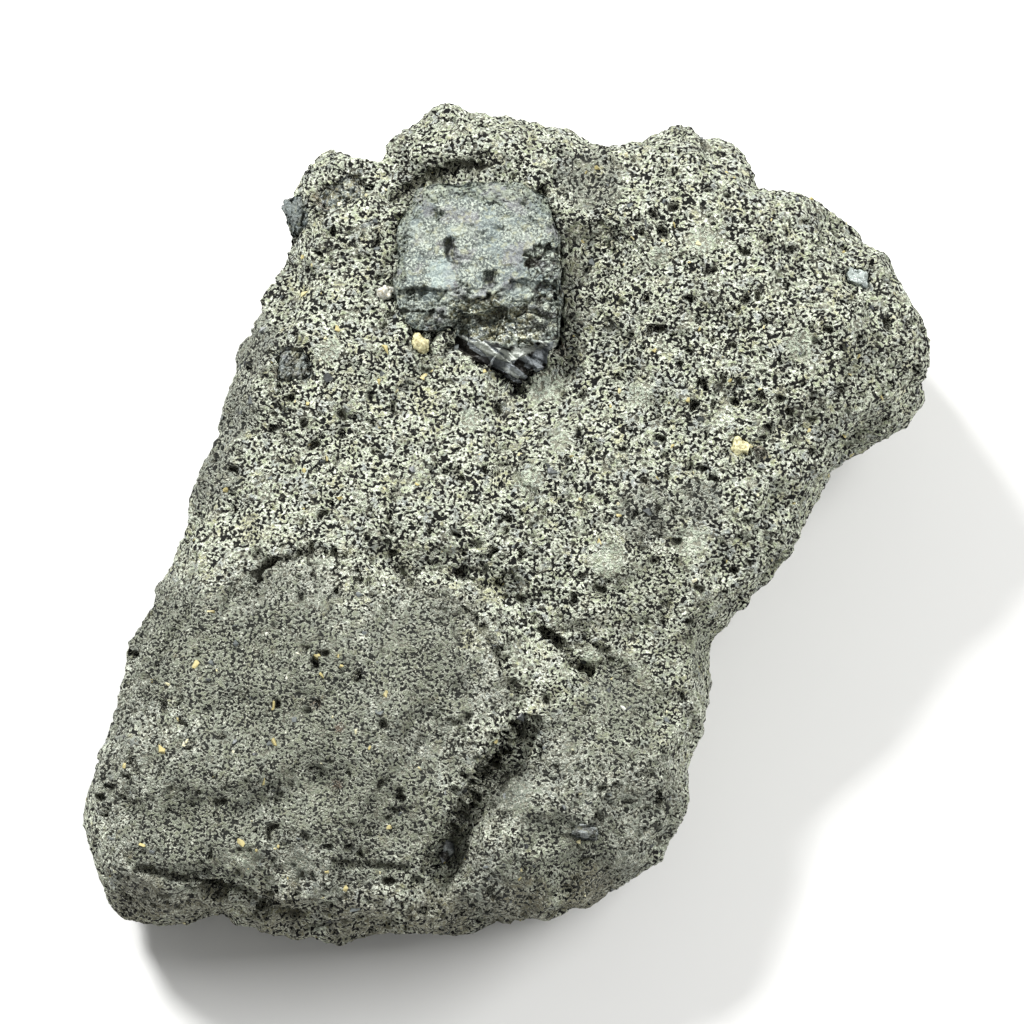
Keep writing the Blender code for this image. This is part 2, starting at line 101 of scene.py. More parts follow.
def insideBy(places, corners):  # pixels that each place lies inside a closed outline, 0 outside it
    inside = np.zeros(len(places), bool)
    x, y = places.T
    ring = corners + corners[:1]
    for (ax, ay), (bx, by) in zip(ring, ring[1:]):
        crosses = (ay > y) != (by > y)
        inside ^= crosses & (x < (bx - ax) * (y - ay) / ((by - ay) or 1e-9) + ax)
    return np.where(inside, awayFrom(places, ring), 0.0)


def waver(places, waves):       # places shifted by waves, each across the way it runs or along it
    return places + sum(reach * np.sin((places[:, ::-1] if across else places) * rate)
                        for reach, rate, across in waves)


def linear(code):       # "#rrggbb" in sRGB to linear RGBA
    parts = [int(code[i:i + 2], 16) / 255 for i in (1, 3, 5)]
    return [c / 12.92 if c < 0.04045 else ((c + 0.055) / 1.055) ** 2.4 for c in parts] + [1.0]


def addNode(tree, kind, links=None, values=None, **settings):       # one node, linked and set
    node = tree.nodes.new(kind)
    for name, value in settings.items():
        setattr(node, name, value)
    for key, value in (values or {}).items():
        node.inputs[key].default_value = value
    for key, source in (links or {}).items():
        tree.links.new(source, node.inputs[key])
    return node


def newMaterial(name, roughness, specular=0.5):
    material = bpy.data.materials.new(name)
    material.use_nodes = True
    tree = material.node_tree
    shader = tree.nodes["Principled BSDF"]
    shader.inputs["Roughness"].default_value = roughness
    shader.inputs["Specular IOR Level"].default_value = specular
    return material, tree, shader


def layColours(tree, base, colours, layers):    # tints over a base, each as its pattern and zone say
    colour = None
    for name, source, low, high, most, *zone in layers:
        share = addNode(tree, "ShaderNodeMapRange", {"Value": source},
                        {"From Min": low, "From Max": high, "To Max": most},
                        interpolation_type="SMOOTHSTEP").outputs[0]
        if zone:
            share = addNode(tree, "ShaderNodeMath", {0: share, 1: zone[0]}, operation="MULTIPLY").outputs[0]
        mix = addNode(tree, "ShaderNodeMix", {0: share}, {6: base, 7: colours[name]}, data_type="RGBA")
        if colour:
            tree.links.new(colour, mix.inputs[6])
        colour = mix.outputs[2]
    return colour


def applyModifiers(thing):
    graph = bpy.context.evaluated_depsgraph_get()
    mesh = bpy.data.meshes.new_from_object(thing.evaluated_get(graph))
    old = thing.data
    thing.modifiers.clear()
    thing.data = mesh
    bpy.data.meshes.remove(old)
    mesh.validate()


def copyNode(node, name):       # a merged copy of a CAD node's mesh, as a new piece
    bm = bmesh.new()
    bm.from_mesh(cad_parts[node].data)
    bmesh.ops.remove_doubles(bm, verts=bm.verts, dist=0.001 * mm)
    mesh = bpy.data.meshes.new(name)
    bm.to_mesh(mesh)
    bm.free()
    thing = bpy.data.objects.new(name, mesh)
    bpy.context.scene.collection.objects.link(thing)
    return thing


def readPoints(mesh, what="co"):
    values = np.empty(len(mesh.vertices) * 3, np.float32)
    mesh.vertices.foreach_get(what, values)
    return values.reshape(-1, 3).astype(np.float64)


def writePoints(mesh, points):
    mesh.vertices.foreach_set("co", points.astype(np.float32).ravel())
    mesh.update()


def writeAttribute(mesh, name, values):
    layer = mesh.attributes.new(name, "FLOAT", "POINT")
    layer.data.foreach_set("value", np.asarray(values, np.float32))


def remesh(thing, voxel, smooth):
    grid = thing.modifiers.new("voxels", "REMESH")
    grid.mode = "VOXEL"
    grid.voxel_size = voxel * mm
    if smooth:
        soft = thing.modifiers.new("soften", "SMOOTH")
        soft.factor = 0.5
        soft.iterations = smooth
    applyModifiers(thing)


def displace(thing, layers):       # layers of relief: texture, size in mm, height in mm
    for kind, size, height in layers:
        texture = bpy.data.textures.new(f"{thing.name} {kind} {size}", kind)
        texture.noise_scale = size * mm
        layer = thing.modifiers.new(texture.name, "DISPLACE")
        layer.texture = texture
        layer.texture_coords = "LOCAL"
        layer.strength = height * mm


def lighten(thing, triangles):      # fewer triangles, kept where the form turns
    thing.data.calc_loop_triangles()
    cut = thing.modifiers.new("lighter", "DECIMATE")
    cut.ratio = min(1.0, triangles / len(thing.data.loop_triangles))
    applyModifiers(thing)


def heightOver(mesh, under):        # mm that each point of the mesh stands over a surface, or below it
    heights = []
    for vert in mesh.vertices:
        point, normal, _, away = under.find_nearest(vert.co)
        heights.append(math.copysign(away, (vert.co - point).dot(normal)) / mm)
    return heights


def surfaceOf(thing):
    return BVHTree.FromObject(thing, bpy.context.evaluated_depsgraph_get())


def dress(thing, material, nodes):        # the finished piece stands in for its CAD nodes
    thing.data.shade_smooth()
    thing.data.materials.clear()
    thing.data.materials.append(material)
    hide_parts(*nodes)
    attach(thing, "root")


# Augite, a dark pyroxene grown slowly before the lava rose. Its weathered face is frosted bluish grey with
# a fine sugary grain, broken parts are hackly, brown-olive and glinting, and fresh prism faces shine dark.
augite = {
    "node": "augite_crystal",
    "name": "augite_phenocryst",
    "voxel": 0.13,              # mm
    "soften": 2,
    "blur": 45,                 # rounds of smoothing where the face is broken
    "triangles": 190000,
    "seed": 5,
    "seen": (0.15, 0.55),       # facing share from which carving starts and is full
    "outlines": {               # zones of the face, as places in the camera's frame
        "plate": [(398, 262), (426, 259), (428, 287), (455, 289), (461, 299), (473, 290), (486, 281),
                  (499, 285), (514, 279), (524, 272), (527, 251), (541, 244), (566, 248), (566, 176),
                  (398, 176)],
        "crust": [(394, 284), (394, 176), (570, 176), (570, 252), (556, 248), (551, 228), (534, 212),
                  (510, 202), (486, 206), (468, 197), (446, 199), (426, 203), (413, 222), (406, 246),
                  (405, 284)],
        "pale": [(427, 262), (449, 259), (456, 270), (454, 286), (430, 289)],
        "ledge": [(503, 285), (516, 280), (526, 281), (540, 279), (566, 283), (566, 298), (546, 298),
                  (532, 304), (515, 306), (500, 303)],
        "band": [(398, 290), (426, 288), (470, 296), (480, 306), (440, 312), (398, 309)],
        "broken": [(452, 302), (498, 292), (500, 308), (530, 305), (538, 312), (540, 334), (530, 345),
                   (470, 340), (448, 320)],
        "rough": [(524, 250), (541, 243), (566, 247), (566, 340), (548, 345), (538, 334), (534, 308),
                  (534, 284), (527, 281)],
        "hollow": [(394, 309), (440, 312), (455, 318), (452, 340), (410, 334), (392, 326)],
        "nose": [(446, 336), (470, 338), (505, 346), (530, 345), (556, 338), (560, 380), (500, 390),
                 (444, 356)],
        "sheen": [(520, 355), (534, 353), (552, 345), (553, 358), (540, 370), (528, 368), (522, 363)],
        # ridge: where a painted highlight line runs along the nose
        "ridge": [(504, 353), (520, 347), (535, 346), (550, 340), (550, 346), (534, 352), (520, 354),
                  (512, 362), (504, 362)],
    },
    "worn": ["ledge", "band", "broken", "rough", "hollow"],
    "levels": {                 # mm that a zone lies under the plane of the plate
        "band": 0.35, "ledge": 0.7, "rough": 0.3,
    },
    "rise": 0.4,                # mm that a zone may rise to its level
    "breaks": {                 # fragments: width, height and drop in mm, turn in degrees, gap depth in mm
        "blocks": {"zones": {"broken": 1.0, "rough": 0.8, "ledge": 0.6, "hollow": 0.8, "band": 0.5,
                             "crust": 0.3},
                   "cuts": [(2.3, 1.4, 1.1, -14, 0.35), (1.0, 0.75, 0.65, 16, 0.35),
                            (0.5, 0.42, 0.3, -22, 0.15)]},
        "splinters": {"zones": {"nose": 1.0},
                      "cuts": [(4.6, 1.0, 1.1, 34, 0.35), (2.4, 0.5, 0.3, 28, 0.12)]},
        "flakes": {"zones": {"plate": 1.0},
                   "cuts": [(2.6, 2.2, 0.12, 20, 0.0), (0.9, 0.7, 0.07, -10, 0.0)]},
    },
    "gap": 0.14,                # half width of the gap between fragments, in their own widths
    "lean": 0.7,                # how far the face of a fragment leans, in its own drop
    "snap": (0.62, 0.5),        # mm, size of the fragments whose edges bound the zones
    "chips": [                  # x, y, half width, half height in pixels, turn in degrees, depth in mm
        (439, 216, 7, 6, 0, 0.6), (450, 246, 7, 9, 12, 0.7), (456, 262, 5, 12, -14, 0.5),
        (491, 279, 8, 9, 20, 0.7), (421, 291, 7, 6, 0, 0.9), (473, 226, 4, 3, 20, 0.3),
        (500, 229, 10, 3, -8, 0.3), (484, 233, 5, 3, 10, 0.3), (544, 214, 5, 3, 30, 0.3),
        (405, 250, 3, 13, 2, 0.5), (411, 300, 7, 4, 0, 0.5), (462, 286, 6, 4, 20, 0.5),
        (470, 187, 14, 3, 4, 0.4), (512, 240, 4, 3, 0, 0.25), (430, 236, 4, 4, 0, 0.25),
        (520, 205, 4, 3, 0, 0.25), (540, 285, 8, 3, -20, 0.6), (525, 262, 4, 4, 0, 0.4),
        (506, 318, 6, 4, 20, 0.6), (480, 322, 9, 5, 25, 0.8), (492, 205, 5, 4, 30, 0.4),
        (533, 222, 6, 3, 60, 0.4), (466, 297, 5, 7, 20, 0.8), (440, 300, 5, 4, 0, 0.5),
    ],
    "waver": [(1.5, 0.7, True), (0.9, 1.9, True)],  # depth in pixels, rate and way of a chip's torn rim
    "grain": [("CLOUDS", 5.0, 1.0), ("CLOUDS", 1.6, 0.5), ("CLOUDS", 0.42, 0.24)],
    "patterns": {               # sizes in mm in the material
        "sugar": 0.27, "cloud": 0.8, "drift": 3.2, "crack": 1.1, "bend": 0.9, "etching": 0.4, "bump": 0.22,
    },
    "colours": {
        "face": "#6b736d",
        "dim": "#3a403b",
        "frost": "#b4bcae",
        "teal": "#727f80",
        "lilac": "#747277",
        "glint": "#f0f3e6",
        "straw": "#a09f78",
        "pale": "#9fb0ad",
        "brown": "#4a4333",
        "olive": "#9c9773",
        "dark": "#15120e",
        # painted shade, dark brown, in the chips and breaks cut into the face
        "recess_shade": "#2e2519",
        "prism": "#3b3632",
        "sheen": "#8b9194",
        # edge: painted highlight on splinters and along the nose's ridge
        "edge": "#c3c8bf",
        "web": "#8f9785",
    },
}


# Breaks a plane into irregular fragments. Gives each place its fragment's middle, its level with its lean
# along both ways, and how near the place is to the fragment's edge.
def fragments(places, size, turn, table):
    turn = math.radians(turn)
    along, across = np.array((math.cos(turn), math.sin(turn))), np.array((-math.sin(turn), math.cos(turn)))
    x, y = places @ along / size[0], places @ across / size[1]
    column, row = np.floor(x).astype(int), np.floor(y).astype(int)
    nearest, second = np.full(len(x), 9.0), np.full(len(x), 9.0)
    middle, level = np.zeros((len(x), 2)), np.zeros((len(x), 3))
    for i in (-1, 0, 1):
        for j in (-1, 0, 1):
            own = table[(column + i) % len(table), (row + j) % len(table)]
            dx, dy = column + i + own[:, 0] - x, row + j + own[:, 1] - y
            away = np.hypot(dx, dy)
            closer = away < nearest
            second = np.where(closer, nearest, np.minimum(second, away))
            nearest = np.where(closer, away, nearest)
            middle[closer] = np.column_stack((x + dx, y + dy))[closer]
            leans = dx * (own[:, 3] - 0.5), dy * (own[:, 4] - 0.5)
            level[closer] = np.column_stack((own[:, 2], *leans))[closer]
    middle = np.outer(middle[:, 0] * size[0], along) + np.outer(middle[:, 1] * size[1], across)
    return middle, level, second - nearest


def zoneShares(places, s):      # a zone takes whole fragments, so its edge is broken as they are
    step = camera["imageWidth"] / camera["pixels"]
    table = np.random.default_rng(s["seed"]).random((61, 61, 5))
    middle = fragments(places * step, s["snap"], 10, table)[0] / step
    return {name: np.full(len(places), corners) if isinstance(corners, float) else
            np.sign(insideBy(middle, corners)) for name, corners in s["outlines"].items()}


def breakUp(places, s, share):     # mm that the broken zones drop, and a tint for each fragment
    step = camera["imageWidth"] / camera["pixels"]
    dice = np.random.default_rng(s["seed"] + 1)
    drop, tint = np.zeros(len(places)), np.full(len(places), 0.5)
    for own in s["breaks"].values():
        most = np.clip(sum(amount * share[name] for name, amount in own["zones"].items()), 0.0, 1.0)
        for number, (width, height, depth, turn, crack) in enumerate(own["cuts"]):
            _, level, gap = fragments(places * step, (width, height), turn, dice.random((61, 61, 5)))
            face = level[:, 0] + s["lean"] * (level[:, 1] + level[:, 2])
            drop += most * (depth * face + crack * np.clip(1.0 - gap / s["gap"], 0.0, 1.0))
            tint = np.where(most > 0, (tint * number + level[:, 0]) / (number + 1), tint)
    return drop, tint


def smoothSeams(thing, s):      # wears the CAD form's seams away where the crystal is broken
    share = zoneShares(inFrame(camera, readPoints(thing.data)), s)
    group = thing.vertex_groups.new(name="worn seams")
    worn = sum(share[name] for name in s["worn"])
    for i in np.nonzero(worn > 0.1)[0]:
        group.add([int(i)], 1.0, "REPLACE")
    blur = thing.modifiers.new("worn seams", "SMOOTH")
    blur.iterations = s["blur"]
    blur.vertex_group = group.name


def sinkZones(points, seen, share, back, s):    # mm that sinks zones to their depth under the plate's plane
    height = points @ back / mm
    plate = (share["plate"] > 0.9) & (seen > 0.9)
    slope = np.column_stack((points / mm, np.ones(len(points))))[:, (0, 1, 3)]
    plane = slope @ np.linalg.lstsq(slope[plate], height[plate], rcond=None)[0]
    return sum(share[name] * np.maximum(depth - plane + height, -s["rise"])
               for name, depth in s["levels"].items())


def chipAway(places, s):        # mm that the chips take off
    drop = np.zeros(len(places))
    torn = waver(places, s["waver"])
    for px, py, wide, high, turn, depth in s["chips"]:
        turn = math.radians(turn)
        away = torn - (px, py)
        across = np.hypot((away[:, 0] * math.cos(turn) + away[:, 1] * math.sin(turn)) / wide,
                          (away[:, 1] * math.cos(turn) - away[:, 0] * math.sin(turn)) / high)
        across += 0.18 * np.sin(3 * np.arctan2(away[:, 1], away[:, 0]) + px)    # three blunt lobes
        drop += depth * np.clip(1.0 - across ** 2, 0.0, 1.0) ** 0.8
    return drop


def makeAugite(s):
    thing = copyNode(s["node"], s["name"])
    remesh(thing, s["voxel"], s["soften"])
    smoothSeams(thing, s)
    displace(thing, s["grain"])
    applyModifiers(thing)
    points, normals = readPoints(thing.data), readPoints(thing.data, "normal")
    tilt = math.radians(camera["elevation"])
    back = np.array((0.0, -math.cos(tilt), math.sin(tilt)))
    low, high = s["seen"]
    seen = np.clip((normals @ back - low) / (high - low), 0.0, 1.0)
    places = inFrame(camera, points)
    share = zoneShares(places, s)
    drop = breakUp(places, s, share)[0] + chipAway(places, s)
    if s["levels"]:
        drop += sinkZones(points, seen, share, back, s)
    before = surfaceOf(thing)
    writePoints(thing.data, points - np.outer(drop * seen, back) * mm)
    lighten(thing, s["triangles"])
    mesh = thing.data
    places = inFrame(camera, readPoints(mesh))
    share = zoneShares(places, s)
    for name, values in share.items():
        writeAttribute(mesh, name, values)
    writeAttribute(mesh, "tint", breakUp(places, s, share)[1])
    writeAttribute(mesh, "cavity", heightOver(mesh, before))
    dress(thing, augiteMaterial(s), [s["node"]])
    print(s["name"], len(mesh.polygons), "faces")
    return thing


def augiteMaterial(s):
    colours = {name: linear(code) for name, code in s["colours"].items()}
    material, tree, shader = newMaterial("weathered augite", 0.5, 0.5)
    place = addNode(tree, "ShaderNodeTexCoord").outputs["Object"]
    size = {name: width * mm for name, width in s["patterns"].items()}
    fine = addNode(tree, "ShaderNodeTexNoise", {"Vector": place},
                   {"Scale": 1 / size["sugar"], "Detail": 2.0, "Roughness": 0.7}).outputs["Fac"]
    cloud = addNode(tree, "ShaderNodeTexNoise", {"Vector": place},
                    {"Scale": 1 / size["cloud"], "Detail": 3.0})
    tints = addNode(tree, "ShaderNodeSeparateColor", {0: cloud.outputs["Color"]}).outputs
    broad = addNode(tree, "ShaderNodeTexNoise", {"Vector": place},
                    {"Scale": 1 / size["drift"], "Detail": 3.0})
    drifts = addNode(tree, "ShaderNodeSeparateColor", {0: broad.outputs["Color"]}).outputs
    bent = addNode(tree, "ShaderNodeVectorMath", {0: cloud.outputs["Color"], 2: place},
                   {1: (size["bend"],) * 3}, operation="MULTIPLY_ADD").outputs[0]
    cracks = addNode(tree, "ShaderNodeTexVoronoi", {"Vector": bent}, {"Scale": 1 / size["crack"]},
                     feature="DISTANCE_TO_EDGE").outputs["Distance"]
    dots = addNode(tree, "ShaderNodeTexVoronoi", {"Vector": bent},
                   {"Scale": 1 / size["etching"]}).outputs["Distance"]
    zone = {name: addNode(tree, "ShaderNodeAttribute", attribute_name=name).outputs["Fac"]
            for name in ("pale", "broken", "rough", "hollow", "nose", "sheen", "ridge", "crust", "tint",
                         "cavity")}
    layers = [                  # colour, what drives it, where it starts and is full, its most, its zone
        ("dim", fine, 0.49, 0.38, 0.9),
        ("frost", fine, 0.50, 0.60, 0.85),
        ("teal", drifts[0], 0.46, 0.60, 0.5),
        ("lilac", drifts[1], 0.50, 0.62, 0.5),
        ("frost", drifts[2], 0.52, 0.66, 0.35),
        ("straw", tints[0], 0.54, 0.64, 0.35),
        ("dark", cracks, 0.06, 0.01, 0.8, tints[1]),
        ("web", tints[2], 0.40, 0.60, 0.6, zone["crust"]),
        ("dim", tints[1], 0.52, 0.62, 0.6, zone["crust"]),
        # painted shade in the crust's pores
        ("dark", dots, 0.40, 0.20, 0.9, zone["crust"]),
        ("pale", zone["pale"], 0.0, 1.0, 0.35),
        ("brown", zone["tint"], 0.50, 0.68, 0.5, zone["broken"]),
        ("olive", tints[2], 0.46, 0.58, 0.7, zone["broken"]),
        ("brown", zone["tint"], 0.60, 0.80, 0.55, zone["rough"]),
        ("frost", zone["tint"], 0.55, 0.35, 0.6, zone["rough"]),
        ("brown", zone["tint"], 0.50, 0.70, 0.5, zone["hollow"]),
        ("frost", fine, 0.52, 0.58, 0.9, zone["broken"]),
        ("glint", fine, 0.60, 0.66, 0.9, zone["broken"]),
        ("dark", fine, 0.44, 0.36, 0.9, zone["broken"]),
        ("dark", fine, 0.40, 0.32, 0.6, zone["rough"]),
        ("dark", cracks, 0.08, 0.02, 0.9, zone["rough"]),
        ("prism", fine, 0.2, 0.4, 0.9, zone["nose"]),
        ("sheen", zone["tint"], 0.56, 0.46, 0.9, zone["nose"]),
        # pale splinters in the nose: painted highlight
        ("edge", zone["tint"], 0.36, 0.28, 0.9, zone["nose"]),
        ("dark", zone["tint"], 0.62, 0.75, 0.8, zone["nose"]),
        ("sheen", zone["sheen"], 0.0, 1.0, 1.0),
        # painted highlight line along the ridge
        ("edge", zone["ridge"], 0.0, 1.0, 0.8),
        # painted shade, dark brown, where the face was cut deepest into chips and breaks
        ("recess_shade", zone["cavity"], -0.9, -2.4, 0.55),
    ]
    tree.links.new(layColours(tree, colours["face"], colours, layers), shader.inputs["Base Color"])
    rough = addNode(tree, "ShaderNodeMapRange", {"Value": zone["nose"]}, {"To Min": 0.55, "To Max": 0.26})
    tree.links.new(rough.outputs[0], shader.inputs["Roughness"])
    pitted = addNode(tree, "ShaderNodeMapRange", {"Value": dots}, {"From Min": 0.15, "From Max": 0.3})
    height = addNode(tree, "ShaderNodeMath", {0: pitted.outputs[0], 1: zone["crust"], 2: fine},
                     operation="MULTIPLY_ADD")
    bump = addNode(tree, "ShaderNodeBump", {"Height": height.outputs[0]},
                   {"Strength": 1.0, "Distance": size["bump"]})
    tree.links.new(bump.outputs[0], shader.inputs["Normal"])
    return material


smallAugites = {                # each with its own zones, one share for the whole piece
    "augite_recess": {
        "name": "augite_in_recess", "seed": 21, "outlines": {"nose": 0.0, "broken": 0.75, "hollow": 0.35},
        "cuts": [(1.5, 1.0, 0.9, 20, 0.3), (0.6, 0.45, 0.5, -10, 0.2)],
    },
    "augite_edge": {
        "name": "augite_on_edge", "seed": 22, "outlines": {"nose": 0.1, "broken": 0.1},
        "cuts": [(2.1, 1.3, 0.8, 60, 0.2), (0.8, 0.6, 0.3, 20, 0.1)],
    },
    "augite_flank": {
        "name": "augite_on_flank", "seed": 23, "outlines": {"nose": 0.1, "broken": 0.3, "hollow": 0.5},
        "cuts": [(1.6, 0.7, 0.9, -60, 0.3), (0.7, 0.4, 0.5, -50, 0.2)],
    },
    "augite_lath": {
        "name": "augite_tablet", "seed": 24, "outlines": {"nose": 0.3, "broken": 0.1},
        "cuts": [(1.2, 0.5, 0.4, 5, 0.15)],
    },
    "augite_groove": {
        "name": "augite_in_groove", "seed": 25, "outlines": {"nose": 0.75, "broken": 0.1},
        "cuts": [(1.2, 0.8, 0.3, 40, 0.1)],
    },
}
smallCut = {                    # what the smaller crystals share
    "voxel": 0.11,
    "triangles": 20000,
    "blur": 0,
    "worn": ["nose"],
    "levels": {},
    "chips": [],
    "grain": [("CLOUDS", 1.2, 0.6), ("CLOUDS", 0.4, 0.3)],
    # edge stays a painted highlight colour here too
    "colours": {**augite["colours"],
                "face": "#575e5b", "frost": "#8a928d", "teal": "#5d6d70", "edge": "#949a96"},
}


# Plagioclase feldspar: cream to straw-yellow cleaved grains with a pearly, faintly translucent look.
feldspar = {
    "nodes": {"feldspar_white": "#c8c8be", "feldspar_yellow": "#bbb68e", "feldspar_patch": "#c6c298"},
    "voxel": 0.09,
    "soften": 30,
    "grain": [("CLOUDS", 1.4, 1.6), ("CLOUDS", 0.6, 0.4)],
    "triangles": 12000,
    "stain": "#7d7048",
    "cloud": 0.35,              # mm, size of the stains and the grain
}
glass = {
    "clear": "#d3dbd4",
    "milky": "#869290",
    "haze": 0.5,                # mm
}


def makeGrain(s, node, material):
    thing = copyNode(node, f"{node}_piece")
    remesh(thing, s["voxel"], s["soften"])
    displace(thing, s["grain"])
    applyModifiers(thing)
    lighten(thing, s["triangles"])
    dress(thing, material, [node])
    return thing


def glassMaterial(s):           # volcanic glass: a pale bluish-white grain that lets some light through
    material, tree, shader = newMaterial("pale volcanic glass", 0.2, 0.5)
    place = addNode(tree, "ShaderNodeTexCoord").outputs["Object"]
    haze = addNode(tree, "ShaderNodeTexNoise", {"Vector": place},
                   {"Scale": 1 / (s["haze"] * mm), "Detail": 3.0})
    colour = addNode(tree, "ShaderNodeMix", {0: haze.outputs["Fac"]},
                     {6: linear(s["clear"]), 7: linear(s["milky"])}, data_type="RGBA").outputs[2]
    tree.links.new(colour, shader.inputs["Base Color"])
    shader.inputs["IOR"].default_value = 1.52
    shader.inputs["Transmission Weight"].default_value = 0.35
    return material


def feldsparMaterial(s, name, code):
    material, tree, shader = newMaterial(name, 0.42, 0.5)
    place = addNode(tree, "ShaderNodeTexCoord").outputs["Object"]
    fine = addNode(tree, "ShaderNodeTexNoise", {"Vector": place},
                   {"Scale": 1 / (s["cloud"] * mm), "Detail": 3.0})
    stain = addNode(tree, "ShaderNodeMapRange", {"Value": fine.outputs["Fac"]},
                    {"From Min": 0.52, "From Max": 0.36, "To Max": 0.75}, interpolation_type="SMOOTHSTEP")
    colour = addNode(tree, "ShaderNodeMix", {0: stain.outputs[0]},
                     {6: linear(code), 7: linear(s["stain"])}, data_type="RGBA").outputs[2]
    tree.links.new(colour, shader.inputs["Base Color"])
    shader.inputs["Subsurface Weight"].default_value = 0.15
    shader.inputs["Subsurface Radius"].default_value = (0.4 * mm, 0.35 * mm, 0.25 * mm)
    shader.inputs["Subsurface Scale"].default_value = 1.0
    bump = addNode(tree, "ShaderNodeBump", {"Height": fine.outputs["Fac"]},
                   {"Strength": 0.8, "Distance": 0.1 * mm})
    tree.links.new(bump.outputs[0], shader.inputs["Normal"])
    return material
